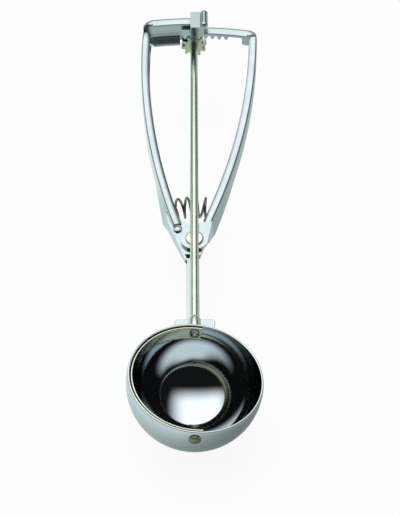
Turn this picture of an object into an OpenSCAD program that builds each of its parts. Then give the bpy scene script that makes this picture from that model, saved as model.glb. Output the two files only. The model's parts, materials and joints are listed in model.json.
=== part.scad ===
// Lever ice cream scoop. Squeezing the sprung lever drives a rack over a pinion,
// and the pinion's rod sweeps a blade through half a turn inside the bowl.
// The origin is the centre of the bowl's sphere. +Y runs along the rod to the handles,
// and +Z leaves the bowl's mouth. Lengths are in millimetres.

/* [Bowl] */
// Outer radius of the bowl
bowl_r = 25; // [23:0.5:28]
// Thickness of the bowl's wall
bowl_wall = 0.8; // [0.6:0.1:1.1]
// Height of the rim above the rod's axis
rim_rise = 3.6; // [3.4:0.1:5]
// Turn of the bowl about the rod, in degrees
bowl_turn = 7; // [0:1:10]
// Width of the saddle behind the bowl
saddle_w = 15.5; // [10:0.5:18]
// How far the saddle reaches behind the bowl
saddle_reach = 10; // [8:0.5:14]

/* [Blade] */
// Width of the blade
blade_w = 6.4; // [5:0.2:6.6]
// Thickness of the blade
blade_t = 0.6; // [0.5:0.1:0.9]
// Gap between the blade and the bowl
blade_gap = 0.5; // [0.3:0.05:0.6]
// How far the blade's ends run past the rod's axis
blade_past = 2.6; // [2.4:0.1:4]

/* [Rod and pinion] */
// Radius of the rod
rod_r = 1.7; // [1.5:0.1:1.8]
// Radius of the rod's turned-down ends
neck_r = 1.2; // [1:0.1:1.4]
// Radius of the ferrule at the bowl
bush_r = 2.35; // [2.3:0.05:2.6]
// Length of the ferrule outside the bowl
bush_len = 5.8; // [3:0.2:8]
// Teeth on the pinion
pinion_teeth = 10; // [9:1:11]
// Module of the pinion and rack
gear_module = 1; // [0.9:0.05:1.05]
// Width of the pinion
pinion_w = 3.4; // [2.6:0.2:3.6]
// Thickness of the washers
washer_t = 0.4; // [0.3:0.05:0.6]

/* [Handles] */
// Thickness of the handles' sheet
sheet = 1.2; // [1:0.1:1.3]
// Distance from the bowl's centre to the pivot
pivot_y = 76.5; // [70:1:90]
// Distance from the pivot to the middle of the rack
rack_r = 119.2; // [114:0.4:126]
// Height of the arms' channels
arm_h = 9; // [8.6:0.1:10]
// Width of the flanges along the arms
arm_flange = 3.7; // [3:0.1:4.2]
// Width of the flanges along the cross-arms
cross_flange = 5.4; // [4.6:0.1:5.8]
// Radius of the arms' outer curve
arm_r = 290; // [270:5:330]
// Lean of the fixed arm's curve, in degrees
fixed_lean = 20.5; // [19:0.5:22]
// Lean of the lever arm's curve, in degrees
lever_lean = 24.5; // [23.5:0.5:26]
// How far outside the pivot the fixed arm's curve passes
fixed_pass = 5.5; // [5:0.1:6]
// How far outside the pivot the lever arm's curve passes
lever_pass = 2.8; // [2.6:0.1:3.4]
// Height of the lever's cross-arm above the rod's axis
lever_top = 11.3; // [10.8:0.1:11.6]
// Height of the fixed cross-arm above the rod's axis
fixed_top = 13.9; // [13.4:0.1:15]
// Radius of the arms' outer corners
corner_r = 4.4; // [4:0.2:6]

/* [Pivot] */
// Radius of the rivet's shank
rivet_r = 2; // [1.6:0.1:2.4]
// Radius of the rivet's heads
rivet_head_r = 3.7; // [3.2:0.1:4.4]
// Thickness of the rivet's heads
rivet_head_t = 0.9; // [0.6:0.1:1.2]
// Radius of the lever's ears
ear_r = 5.6; // [5:0.1:6.2]
// Drop from the rod's axis to the top of the lever's ear
ear_drop = 4.4; // [4:0.1:5]
// Half width of the shank at the pivot
shank_half = 2.6; // [2.5:0.1:3]
// Half width of the shank at the bowl
shank_tip = 2.3; // [2:0.1:2.5]
// Offset of the shank at the pivot towards the fixed handle
shank_shift = 0.8; // [0:0.1:1]

/* [Spring] */
// Outer radius of the spring
spring_r = 4.65; // [4:0.05:4.7]
// Diameter of the spring's wire
wire_d = 1.1; // [0.8:0.1:1.3]
// Curls in the spring
curls = 5; // [4:1:6]
// Distance from the pivot to the spring's centre line
spring_ring = 22.5; // [22:0.5:25]

/* [Fits] */
// Gap between parts that turn on each other
run_gap = 0.05; // [0.04:0.01:0.08]
// Gap between parts that pass each other
pass_gap = 0.35; // [0.3:0.05:0.6]

/* [Hidden] */
$fn = 96;
fine = 360;
reach = 400;

// Blade and bowl
bowl_in = bowl_r - bowl_wall;
blade_out = bowl_in - blade_gap;
blade_in = blade_out - blade_t;
pin_r = 1.1;
pin_head_r = 1.9;
pin_head_t = 0.9;

// Gear: a 25 degree pressure angle keeps ten teeth free of undercut
pressure = 25;
pitch_r = pinion_teeth * gear_module / 2;
base_r = pitch_r * cos(pressure);
tip_r = pitch_r + 0.8 * gear_module;
root_r = pitch_r - gear_module;
backlash = 0.1;
tooth_step = 180 * gear_module / rack_r;
rack_shift = -0.28;
rack_first = -1;
rack_last = 5;
rack_root_z = pitch_r + gear_module;
rack_tip_z = pitch_r - 0.8 * gear_module;

// Heights of the stack at the pivot
ear_top = -ear_drop - run_gap;
ear_low = ear_top - arm_h;
plate_top = ear_top - sheet - run_gap;
shank_top = plate_top - sheet;
shank_low = shank_top - 4.1;

// Where the arms start and stop rising, measured from the pivot
foot_y = 9.5;
rise_y = rack_r - 8.7;
rise_slope = (lever_top - ear_top) / (rise_y - foot_y);
lever_out = rack_r + sheet / 2;
fixed_out = rack_r + 4.3;
fixed_low = rack_tip_z - 2 * pass_gap - 2.7;
fixed_in_y = pivot_y + fixed_out - sheet;
pinion_y = fixed_in_y - run_gap - washer_t - pinion_w;
rod_end_y = pivot_y + fixed_out + run_gap + washer_t;

function fixed_centre() = (arm_r - fixed_pass) * [cos(fixed_lean), sin(fixed_lean)];
function lever_centre() = (arm_r - lever_pass) * [-cos(lever_lean), sin(lever_lean)];
// Where a circle about c meets one about the origin; side chooses the solution
function meet(c, rc, ro, side) =
    let (d = norm(c), a = (d * d + ro * ro - rc * rc) / (2 * d), h = sqrt(ro * ro - a * a), u = c / d)
    a * u + side * h * [-u[1], u[0]];
function at(c, r, a) = c + r * [cos(a), sin(a)];
function heading(p) = atan2(p[1], p[0]);
function unit(v) = v / norm(v);
// Angle on the circle about c at which its height over the pivot is y
function angle_at(c, r, y, side) = side > 0 ? asin((y - c[1]) / r) : 180 - asin((y - c[1]) / r);
// Outer edge of an arm at height y over the pivot, a hair inside its circle, and its x and z
function edge_x(c, y, side) = c[0] + side * (sqrt(arm_r * arm_r - (y - c[1]) * (y - c[1])) - 0.05);
function edge_z(y) = ear_top + rise_slope * max(0, y - foot_y);
// Slice of an arm's web at y, whose lower edge stands out by flare and is drawn in by lift
function web_slice(c, y, side, flare, lift) =
    [y, [edge_x(c, y, side), edge_z(y) - 0.3],
        [edge_x(c, y, side) + side * flare, edge_z(y) - arm_h + lift]];
// Point where the tangent from p touches a circle about the origin
function tangent_on(p, r, side) = at([0, 0], r, heading(p) + side * acos(r / norm(p)));

// ---- shared shapes ----

// Part of a ring about c, from angle a to angle b, less than half a turn
module ring_part(c, r, w, a, b) {
    far = (r + 5) / cos((b - a) / 2);
    translate(c)
        intersection() {
            difference() {
                circle(r, $fn = fine);
                circle(r - w, $fn = fine);
            }
            polygon([[0, 0], at([0, 0], far, a), at([0, 0], far, (a + b) / 2), at([0, 0], far, b)]);
        }
}

// Straight strip of thickness t on the left of the line from p to q
module wall(p, q, t) {
    n = t * [-unit(q - p)[1], unit(q - p)[0]];
    polygon([p, q, q + n, p + n]);
}

// Slanted band that follows the arms as they rise; the sheet lies below top, and deep is its height
module rising_band(drop, deep, top_z) {
    rotate([90, 0, 90])
        translate([0, 0, -reach / 2])
            linear_extrude(reach)
                polygon([
                    [-30, ear_top - drop], [foot_y, ear_top - drop],
                    [rise_y, top_z - drop], [160, top_z - drop],
                    [160, top_z - drop - deep], [rise_y, top_z - drop - deep],
                    [foot_y, ear_top - drop - deep], [-30, ear_top - drop - deep]]);
}

// Thin slice across a leaning wall at y; top and low are x and z of its outer edge
module slice(y, top, low, t) {
    translate([0, y, 0])
        rotate([90, 0, 0])
            linear_extrude(0.02)
                polygon([top, top + [t, 0], low + [t, 0], low]);
}

// Wall that leans between one slice and the next; each slice is [y, top, low]
module leaning(slices, t) {
    for (i = [0:len(slices) - 2])
        hull() {
            slice(slices[i][0], slices[i][1], slices[i][2], t);
            slice(slices[i + 1][0], slices[i + 1][1], slices[i + 1][2], t);
        }
}

// Slab between two heights
module slab(low, high) {
    translate([0, 0, low])
        linear_extrude(high - low)
            children();
}

// Rod along +Y from y0 to y1
module bar_y(r, y0, y1) {
    translate([0, y0, 0])
        rotate([-90, 0, 0])
            cylinder(r = r, h = y1 - y0);
}

module turned_bowl() {
    rotate([0, bowl_turn, 0])
        children();
}

module at_pivot() {
    translate([0, pivot_y, 0])
        children();
}

// ---- bowl ----

module bowl() {
    color("gainsboro")
        turned_bowl()
            difference() {
                sphere(bowl_r, $fn = 128);
                sphere(bowl_in, $fn = 128);
                translate([-bowl_r - 1, -bowl_r - 1, rim_rise])
                    cube([2 * bowl_r + 2, 2 * bowl_r + 2, bowl_r]);
                bar_y(rod_r + 0.5, 0, bowl_r + 1);
                bar_y(pin_r, -bowl_r - 1, 0);
            }
}

module saddle() {
    half_tip = saddle_w / 2;
    color("whitesmoke")
        difference() {
            slab(shank_top, plate_top)
                polygon([
                    [-half_tip, 0], [-half_tip, bowl_r + saddle_reach - 1],
                    [-half_tip + 1, bowl_r + saddle_reach], [half_tip - 1, bowl_r + saddle_reach],
                    [half_tip, bowl_r + saddle_reach - 1], [half_tip, 0]]);
            sphere(bowl_r, $fn = 128);
        }
}

module front_pin() {
    head_y = -blade_in + run_gap + 0.06;
    color("darkkhaki")
        turned_bowl()
            union() {
                bar_y(pin_r, -bowl_r - washer_t, head_y);
                bar_y(pin_head_r - 0.4, head_y, head_y + 0.8);
                intersection() {
                    bar_y(pin_head_r, -bowl_r - washer_t - pin_head_t, -bowl_r - washer_t);
                    translate([0, -bowl_r - washer_t + 1.8, 0])
                        sphere(pin_head_t + 1.8);
                }
            }
}

module front_washer() {
    outer = pin_head_r + 0.3;
    color("dimgray")
        turned_bowl()
            rotate([90, 0, 0])
                rotate_extrude()
                    polygon([[pin_r, bowl_r + washer_t], [outer, bowl_r + washer_t],
                        [outer, sqrt(bowl_r * bowl_r - outer * outer)],
                        [pin_r, sqrt(bowl_r * bowl_r - pin_r * pin_r)]]);
}

module bowl_bush() {
    color("darkseagreen")
        difference() {
            union() {
                difference() {
                    bar_y(bush_r, bowl_r - 0.5, bowl_r + bush_len);
                    sphere(bowl_r, $fn = 128);
                }
                intersection() {
                    bar_y(rod_r + 0.5, bowl_in - 1, bowl_r + 0.5);
                    difference() {
                        sphere(bowl_r + 0.5, $fn = 128);
                        sphere(bowl_in, $fn = 128);
                    }
                }
            }
            bar_y(rod_r + run_gap, 0, bowl_r + bush_len + 1);
        }
}

// ---- blade, rod and pinion ----

module blade() {
    color("khaki")
        turned_bowl()
            difference() {
                intersection() {
                    sphere(blade_out, $fn = 128);
                    translate([-bowl_r, -bowl_r, -blade_w / 2])
                        cube([bowl_r + blade_past, 2 * bowl_r, blade_w]);
                }
                sphere(blade_in, $fn = 128);
                bar_y(neck_r, 0, bowl_r);
                bar_y(pin_r + run_gap, -bowl_r, 0);
            }
}

module blade_washer() {
    color("khaki")
        difference() {
            bar_y(rod_r + 0.2, blade_in - washer_t - 0.1, blade_in - 0.1);
            bar_y(neck_r, 0, bowl_r);
        }
}

module spindle_rod() {
    inner_end = blade_in - washer_t - 0.1;
    color("darkseagreen")
        union() {
            difference() {
                bar_y(rod_r, blade_out - 0.4, fixed_in_y - run_gap);
                sphere(blade_out, $fn = 128);
            }
            bar_y(neck_r, inner_end - 0.1, blade_out + 1);
            bar_y(neck_r, fixed_in_y - run_gap - 0.5, rod_end_y + 0.1);
            for (end = [[inner_end, -1], [rod_end_y, 1]])
                intersection() {
                    translate([0, end[0] - end[1] * 1.2, 0])
                        sphere(1.9);
                    bar_y(rod_r, min(end[0], end[0] + end[1]), max(end[0], end[0] + end[1]));
                }
        }
}

// Half of one pinion tooth's flank, from the base circle to the tip
function involute(r) = acos(base_r / r) > 0 ? tan(acos(base_r / r)) * 180 / PI - acos(base_r / r) : 0;
function flank_angle(r) =
    (90 / pinion_teeth - backlash / 4 / pitch_r * 180 / PI) + involute(pitch_r) - involute(r);

module pinion_outline() {
    steps = 6;
    radii = [for (i = [0:steps]) base_r + (tip_r - base_r) * i / steps];
    union() {
        circle(root_r);
        for (i = [0:pinion_teeth - 1])
            rotate((i + 0.5) * 360 / pinion_teeth)
                polygon(concat(
                    [at([0, 0], root_r - 0.4, 90 - flank_angle(base_r))],
                    [for (r = radii) at([0, 0], r, 90 - flank_angle(r))],
                    [for (i = [steps:-1:0]) at([0, 0], radii[i], 90 + flank_angle(radii[i]))],
                    [at([0, 0], root_r - 0.4, 90 + flank_angle(base_r))]));
    }
}

module pinion() {
    mesh_turn = rack_shift * 360 / pinion_teeth;
    color("yellowgreen")
        difference() {
            translate([0, pinion_y + pinion_w, 0])
                rotate([90, 0, 0])
                    rotate(-mesh_turn)
                        linear_extrude(pinion_w)
                            pinion_outline();
            bar_y(rod_r, pinion_y - 1, pinion_y + pinion_w + 1);
        }
}

module pinion_washer() {
    color("khaki")
        difference() {
            bar_y(root_r - 0.3, pinion_y + pinion_w, pinion_y + pinion_w + washer_t);
            bar_y(rod_r, 0, rod_end_y);
        }
}

module rod_washer() {
    color("khaki")
        difference() {
            bar_y(rod_r + 1, pivot_y + fixed_out + run_gap, rod_end_y);
            bar_y(neck_r, 0, rod_end_y + 1);
        }
}

// ---- handles ----

// Where the bracketed details of the handles lie, measured from the pivot
full_swing = 180 * pitch_r / rack_r;
deep_end = 90 - full_swing - asin((tip_r + 2 * pass_gap) / rack_r);
flange_end_x = 4.9;
relief_y = 36;
step_y = 8.3;
belly_y = 33.4;
tongue_drop = 1.8;
tooth_inset = 0.05;
lever_bend = 33.3;
slope_near = 18.5;
slope_far = 22.5;
spring_seat = ear_top - 2.5;
// The housing's walls are a little thinner than the sheet they are drawn from
leaning_t = sheet - 0.35;
// Degrees by which the pieces of one sheet run into each other
lap = 4;
short_lap = 0.2;

module ear_outline() {
    c = lever_centre();
    inner = arm_r - arm_flange;
    outer_foot = at(c, arm_r, angle_at(c, arm_r, foot_y, 1));
    inner_foot = at(c, inner, angle_at(c, inner, foot_y, 1));
    // the straight sides run a hair inside the true tangents, so that they cross the circle
    side_r = ear_r - 0.04;
    circle(ear_r);
    polygon([[0, 0], tangent_on(outer_foot, side_r, -1), outer_foot, inner_foot,
        tangent_on(inner_foot, side_r, 1)]);
}

// A rack tooth about x = 0, from the root line down to the tip
module rack_tooth() {
    half = (PI * gear_module - backlash) / 4;
    tip_half = half - (pitch_r - rack_tip_z) * tan(pressure);
    root_half = half + (rack_root_z - pitch_r) * tan(pressure);
    translate([0, lever_out - tooth_inset, 0])
        rotate([90, 0, 0])
            linear_extrude(sheet - 2 * tooth_inset)
                polygon([[-root_half, rack_root_z + 0.3], [-root_half, rack_root_z],
                    [-tip_half, rack_tip_z], [tip_half, rack_tip_z],
                    [root_half, rack_root_z], [root_half, rack_root_z + 0.3]]);
}

module lever() {
    c = lever_centre();
    k = meet(c, arm_r - corner_r, lever_out - corner_r, -1);
    arm_end = heading(k - c);
    notch = angle_at(c, arm_r, k[1] - 2, 1);
    tongue_end = 90 - (rack_first + rack_shift - 0.45) * tooth_step;
    flange_end = 90 - asin(flange_end_x / lever_out);
    color("lightgray")
        at_pivot()
            difference() {
                union() {
                    intersection() {
                        union() {
                            slab(-40, 40) {
                                ring_part(c, arm_r, sheet, angle_at(c, arm_r, lever_bend, 1), arm_end);
                                ring_part(k, corner_r, sheet, arm_end - lap, heading(k) + lap);
                            }
                            slab(spring_seat, 40)
                                ring_part(c, arm_r, sheet, angle_at(c, arm_r, foot_y - 1, 1),
                                    angle_at(c, arm_r, lever_bend + 1, 1));
                            difference() {
                                slab(-40, 40)
                                    ring_part([0, 0], lever_out, sheet, heading(k), deep_end);
                                // the web's lower edge slopes from the arm up to the rack
                                translate([0, 200, 0])
                                    rotate([90, 0, 0])
                                        linear_extrude(200)
                                            polygon([[0, -40], [slope_far, -40], [slope_far, lever_top - arm_h],
                                                [slope_near, rack_root_z], [0, rack_root_z]]);
                            }
                        }
                        rising_band(0, arm_h, lever_top);
                    }
                    // the web leans outwards and tapers to nothing beside the ear
                    leaning([web_slice(c, lever_bend + 2, 1, 0, 0), web_slice(c, 14, 1, 0.95, 0),
                        [9.8, [edge_x(c, 9.8, 1), ear_top - 0.3], [edge_x(c, 9.8, 1) + 0.7, ear_low + 1.2]],
                        [4.5, [ear_r + 0.4, ear_top - 0.3], [ear_r + 0.5, ear_top - sheet + 0.05]]], -sheet);
                    slab(rack_root_z, lever_top)
                        ring_part([0, 0], lever_out, sheet, deep_end - short_lap, flange_end);
                    slab(rack_root_z, lever_top - tongue_drop)
                        ring_part([0, 0], lever_out, sheet, flange_end - short_lap, tongue_end);
                    slab(lever_top - sheet, lever_top)
                        ring_part([0, 0], lever_out, cross_flange, heading(k), flange_end);
                    intersection() {
                        slab(-40, 40)
                            ring_part(c, arm_r, arm_flange, angle_at(c, arm_r, foot_y - 0.5, 1), notch);
                        rising_band(0, sheet, lever_top);
                    }
                    intersection() {
                        slab(-40, 40)
                            ring_part(c, arm_r, arm_flange, angle_at(c, arm_r, relief_y, 1), notch);
                        rising_band(arm_h - sheet, sheet, lever_top);
                    }
                    slab(ear_top - sheet, ear_top)
                        ear_outline();
                    for (i = [rack_first:rack_last])
                        rotate(-(i + rack_shift) * tooth_step)
                            rack_tooth();
                }
                slab(ear_top - sheet - 1, ear_top + 1)
                    circle(rivet_r + run_gap);
            }
}

// Outline of the pivot housing, measured from the pivot: [x, y] and the wall's lower edge
shoulder = [-10.8, 10.4, ear_low + 2.1];
flank = [-6.2, -2.7, ear_low + 3.5];
nose_left = [-3.85, -10.5, shank_top - 0.5];
nose_right = [2.25, -7.8, shank_top - 1.2];
hip = [4.6, 0.8, shank_top - 1.9];
throat = [3.9, 4.6];
nose_y = -13;
plate_front = -7.4;
lip = [-6.9, 6.6];
inset = 0.2;

function flat(p) = [p[0], p[1]];
// Slice of the housing's wall at one of its corners
function corner_slice(p) = [p[1], [p[0], plate_top - 0.02], [p[0], p[2]]];
// Point at height y on the line from p to q
function on_line(p, q, y) = p + (q - p) * (y - p[1]) / (q[1] - p[1]);

module fixed_handle() {
    c = fixed_centre();
    k = meet(c, arm_r - corner_r, fixed_out - corner_r, 1);
    arm_end = heading(k - c);
    notch = angle_at(c, arm_r, k[1] - 3, -1);
    low_flange_end = 90 + asin((tip_r + 2 * pass_gap) / fixed_out);
    bulge = [edge_x(c, 16, -1) - 2.1, 16];
    in_left = [inset, 0];
    plate_edge = [
        [edge_x(c, 18, -1) + 0.8, 18], [-2, 9], throat, flat(hip) - in_left,
        on_line(hip, nose_right, plate_front) - in_left, on_line(flank, nose_left, plate_front) + in_left,
        flat(flank) + in_left, flat(shoulder) + in_left, [edge_x(c, 16, -1), 16]];
    color("silver")
        at_pivot()
            difference() {
                union() {
                    // the arm's web, and its strip above the pivot housing
                    intersection() {
                        slab(-40, 40)
                            ring_part(c, arm_r, sheet, arm_end, angle_at(c, arm_r, belly_y, -1));
                        rising_band(0, arm_h, lever_top);
                    }
                    intersection() {
                        slab(spring_seat, 40)
                            ring_part(c, arm_r, sheet, angle_at(c, arm_r, belly_y + 1, -1),
                                angle_at(c, arm_r, step_y, -1));
                        rising_band(0, arm_h, lever_top);
                    }
                    intersection() {
                        slab(-40, 40)
                            ring_part(c, arm_r, arm_flange, notch, angle_at(c, arm_r, step_y, -1));
                        rising_band(0, sheet, lever_top);
                    }
                    intersection() {
                        slab(-40, 40)
                            ring_part(c, arm_r, arm_flange, notch, angle_at(c, arm_r, relief_y, -1));
                        rising_band(arm_h - sheet, sheet, lever_top);
                    }
                    // the corner and the cross-arm
                    slab(fixed_low, fixed_top) {
                        ring_part(k, corner_r, sheet, heading(k) - lap, arm_end + lap);
                        ring_part([0, 0], fixed_out, sheet, 90 - asin(guide_right / fixed_out), heading(k));
                    }
                    slab(fixed_top - sheet, fixed_top)
                        ring_part([0, 0], fixed_out, cross_flange,
                            90 - asin(guide_right / fixed_out), heading(k));
                    slab(fixed_low, fixed_low + sheet) {
                        ring_part([0, 0], fixed_out, cross_flange, low_flange_end, heading(k) + 0.2);
                        ring_part(k, corner_r, corner_r - 0.4, heading(k) - lap, arm_end + lap);
                    }
                    bar_y(neck_r + 3, fixed_out - sheet, fixed_out);
                    // the pivot housing: its plate, and the walls that lean out below the strip
                    slab(plate_top - sheet, plate_top)
                        polygon(plate_edge);
                    leaning([web_slice(c, belly_y + 2, -1, 0, 0.12),
                        [16, [edge_x(c, 16, -1), edge_z(16) - 0.3], [bulge[0], edge_z(16) - arm_h + 0.12]],
                        corner_slice(shoulder), corner_slice(flank), corner_slice(nose_left)], leaning_t);
                    leaning([corner_slice(hip), corner_slice(nose_right)], -leaning_t);
                    translate([lip[0], lip[1], plate_top - sheet])
                        cylinder(r = 1.75, h = sheet + 0.7);
                }
                slab(plate_top - sheet - 1, plate_top + 1)
                    circle(rivet_r);
                slab(shank_low, shank_top)
                    shank_outline(0);
                bar_y(neck_r + run_gap, fixed_out - 5, fixed_out + 1);
            }
}

// Plan of the shank seen from the pivot, drawn in by a margin
module shank_outline(margin) {
    back = 4.6;
    tip_shift = shank_shift / 3;
    polygon([
        [-shank_shift - shank_half + margin, back + 2 * margin],
        [-shank_shift - shank_half + margin, nose_y],
        [-tip_shift - shank_tip + margin, -pivot_y - 2 * margin],
        [-tip_shift + shank_tip - margin, -pivot_y - 2 * margin],
        [-shank_shift + shank_half - margin, nose_y],
        [-shank_shift + shank_half - margin, back + 2 * margin]]);
}

module shank() {
    slope = 1.5;
    color("silver")
        at_pivot()
            difference() {
                intersection() {
                    slab(shank_low, shank_top)
                        shank_outline(0);
                    rotate([90, 0, 90])
                        translate([0, 0, -reach / 2])
                            linear_extrude(reach)
                                polygon([
                                    [-pivot_y, shank_top], [20, shank_top], [20, shank_low],
                                    [nose_y, shank_low], [-pivot_y, shank_low + slope]]);
                }
                slab(shank_low - 1, shank_top - sheet)
                    shank_outline(sheet);
                translate([0, -pivot_y, 0])
                    sphere(bowl_r, $fn = 128);
                // only the shank's web runs on under the rivet
                translate([-10, -rivet_low_r - 1, shank_low - 1])
                    cube([20, 20, shank_top - sheet - shank_low + 1]);
                slab(shank_low - 1, shank_top + 1)
                    circle(rivet_r);
            }
}

rivet_low_r = 2.75;

module pivot_rivet() {
    low = shank_top - sheet;
    high = ear_top + run_gap;
    bevel = 0.3;
    color("linen")
        at_pivot()
            union() {
                slab(low, high)
                    circle(rivet_r);
                for (head = [[low, -1, rivet_low_r], [high, 1, rivet_head_r]])
                    translate([0, 0, head[0]])
                        mirror([0, 0, head[1] < 0 ? 1 : 0]) {
                            cylinder(r = head[2], h = rivet_head_t - bevel);
                            translate([0, 0, rivet_head_t - bevel])
                                cylinder(r1 = head[2], r2 = head[2] - bevel, h = bevel);
                        }
            }
}

// ---- rack guide ----

guide_left = -1.5;
guide_right = 2.4;
guide_t = 1.1;
bead_r = 1.75;
guide_front = lever_out - cross_flange - pass_gap - guide_t;
guide_back = fixed_out + guide_t;
guide_top = fixed_top + guide_t;
guide_mid = (guide_left + guide_right) / 2;
guide_half = (guide_right - guide_left) / 2;
hook_low = lever_top - sheet - 2;

module rack_guide() {
    bead_x = guide_right + bead_r + 0.5;
    color("lightsteelblue")
        at_pivot()
            union() {
                // strap over the cross-arm and its half-round bead
                slab(fixed_top, guide_top)
                    polygon([[guide_left, guide_front], [bead_x + bead_r, guide_front],
                        [bead_x + bead_r, guide_back], [guide_left, guide_back]]);
                intersection() {
                    union() {
                        translate([bead_x, 0, guide_top])
                            bar_y(bead_r, guide_front + bead_r, guide_back - bead_r);
                        for (y = [guide_front + bead_r, guide_back - bead_r])
                            translate([bead_x, y, guide_top])
                                sphere(bead_r);
                    }
                    slab(guide_top - 0.5, guide_top + bead_r)
                        translate([0, guide_front - 1])
                            square([20, 20]);
                }
                // hook in front of the rack's flange, with a round end and a slot
                difference() {
                    translate([0, guide_front + guide_t, 0])
                        rotate([90, 0, 0])
                            linear_extrude(guide_t)
                                difference() {
                                    union() {
                                        translate([guide_left, hook_low + guide_half])
                                            square([2 * guide_half, guide_top - hook_low - guide_half]);
                                        translate([guide_mid, hook_low + guide_half])
                                            circle(guide_half);
                                    }
                                    translate([guide_mid, hook_low + guide_half + 0.4])
                                        circle(guide_half - 1);
                                    translate([guide_mid, hook_low + guide_half + 1.4])
                                        circle(guide_half - 1);
                                }
                }
                // tab down the back of the cross-arm
                translate([guide_left, fixed_out, fixed_low + 5])
                    cube([2 * guide_half, guide_t, guide_top - fixed_low - 5]);
            }
}

// ---- spring ----

spring_z = ear_top + rise_slope * (0.9 * spring_ring - foot_y) - sheet - pass_gap - spring_r;
coil_r = spring_r - wire_d / 2;
standoff = 2.2;
rings_per_curl = 8;
sides = 6;
seat_gap = 0.02;
lever_seat_gap = 0.24;

// The wire's ends stand square on the inner faces of the arms' webs
function spring_end(c, side) = meet(c, arm_r - sheet - standoff, spring_ring, side);
function raised(p, z) = [p[0], p[1], z];
function on_web(c, p, off) = raised(c + (arm_r - sheet - off) * unit(p - c), spring_z + coil_r);
function coil_point(h, t) =
    [(spring_ring + coil_r * cos(t)) * cos(h), (spring_ring + coil_r * cos(t)) * sin(h),
        spring_z + coil_r * sin(t)];
function outward(h, t) = [cos(t) * cos(h), cos(t) * sin(h), sin(t)];
function bend(a, b, c) = (a + 2 * b + c) / 4;
function part_of(v, a, b) = [for (i = [a:b]) v[i]];
function along(path, i) =
    let (last = len(path) - 1, before = i > 0 ? unit(path[i] - path[i - 1]) : [0, 0, 0],
        after = i < last ? unit(path[i + 1] - path[i]) : [0, 0, 0])
    unit(before + after);

module spring() {
    cf = fixed_centre();
    cl = lever_centre();
    from = spring_end(cf, 1);
    to = spring_end(cl, -1);
    h0 = heading(from);
    h1 = heading(to);
    n = curls * rings_per_curl;
    turns = [for (i = [0:n]) [h0 + (h1 - h0) * i / n, 90 + 360 * i / rings_per_curl]];
    coil = [for (a = turns) coil_point(a[0], a[1])];
    foot0 = on_web(cf, from, wire_d + 0.1);
    foot1 = on_web(cl, to, wire_d + 0.1);
    path = concat(
        [on_web(cf, from, seat_gap), foot0, bend(foot0, coil[0], coil[1])],
        part_of(coil, 1, n - 1),
        [bend(foot1, coil[n], coil[n - 1]), foot1, on_web(cl, to, lever_seat_gap)]);
    up = [0, 0, 1];
    normals = concat([up, up, up], [for (i = [1:n - 1]) outward(turns[i][0], turns[i][1])], [up, up, up]);
    last = len(path) - 1;
    points = [for (i = [0:last])
        let (side = unit(cross(along(path, i), normals[i])), rise = cross(side, along(path, i)))
        for (s = [0:sides - 1])
            path[i] + wire_d / 2 * (cos(360 * s / sides) * rise + sin(360 * s / sides) * side)];
    faces = concat(
        [for (i = [0:last - 1], s = [0:sides - 1]) let (t = (s + 1) % sides)
            [i * sides + s, (i + 1) * sides + s, i * sides + t]],
        [for (i = [0:last - 1], s = [0:sides - 1]) let (t = (s + 1) % sides)
            [i * sides + t, (i + 1) * sides + s, (i + 1) * sides + t]],
        [for (s = [1:sides - 2]) [0, s, s + 1]],
        [for (s = [1:sides - 2]) [last * sides, last * sides + s + 1, last * sides + s]]);
    gaps = [for (i = [0:last], j = [0:last])
        if (j - i > rings_per_curl / 2) norm(path[i] - path[j]) - wire_d];
    echo(least_spring_gap = min(gaps), spring_z = spring_z, from = from, to = to);
    color("dimgray")
        at_pivot()
            polyhedron(points, faces);
}

bowl();
saddle();
shank();
fixed_handle();
lever();
pivot_rivet();
spring();
spindle_rod();
pinion();
blade();
bowl_bush();
front_pin();
front_washer();
rack_guide();
pinion_washer();
rod_washer();
blade_washer();
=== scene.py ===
import json
import math

import bmesh
import bpy
from mathutils import Matrix, Vector


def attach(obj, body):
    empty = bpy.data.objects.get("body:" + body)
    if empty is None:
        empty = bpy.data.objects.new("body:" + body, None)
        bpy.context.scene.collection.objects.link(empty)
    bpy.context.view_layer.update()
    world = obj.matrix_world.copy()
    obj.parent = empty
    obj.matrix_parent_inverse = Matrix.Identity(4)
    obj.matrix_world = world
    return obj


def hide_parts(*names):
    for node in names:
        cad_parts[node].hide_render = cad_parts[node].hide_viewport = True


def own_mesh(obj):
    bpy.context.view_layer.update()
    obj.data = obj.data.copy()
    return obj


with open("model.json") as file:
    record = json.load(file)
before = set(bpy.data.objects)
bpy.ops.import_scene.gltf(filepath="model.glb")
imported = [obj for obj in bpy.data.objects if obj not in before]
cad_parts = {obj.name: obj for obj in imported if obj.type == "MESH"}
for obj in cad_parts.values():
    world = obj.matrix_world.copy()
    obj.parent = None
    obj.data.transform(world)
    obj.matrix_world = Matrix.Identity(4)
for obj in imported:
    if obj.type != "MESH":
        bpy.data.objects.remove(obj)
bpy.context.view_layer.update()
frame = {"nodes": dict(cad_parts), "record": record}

MM = 0.001

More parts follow.
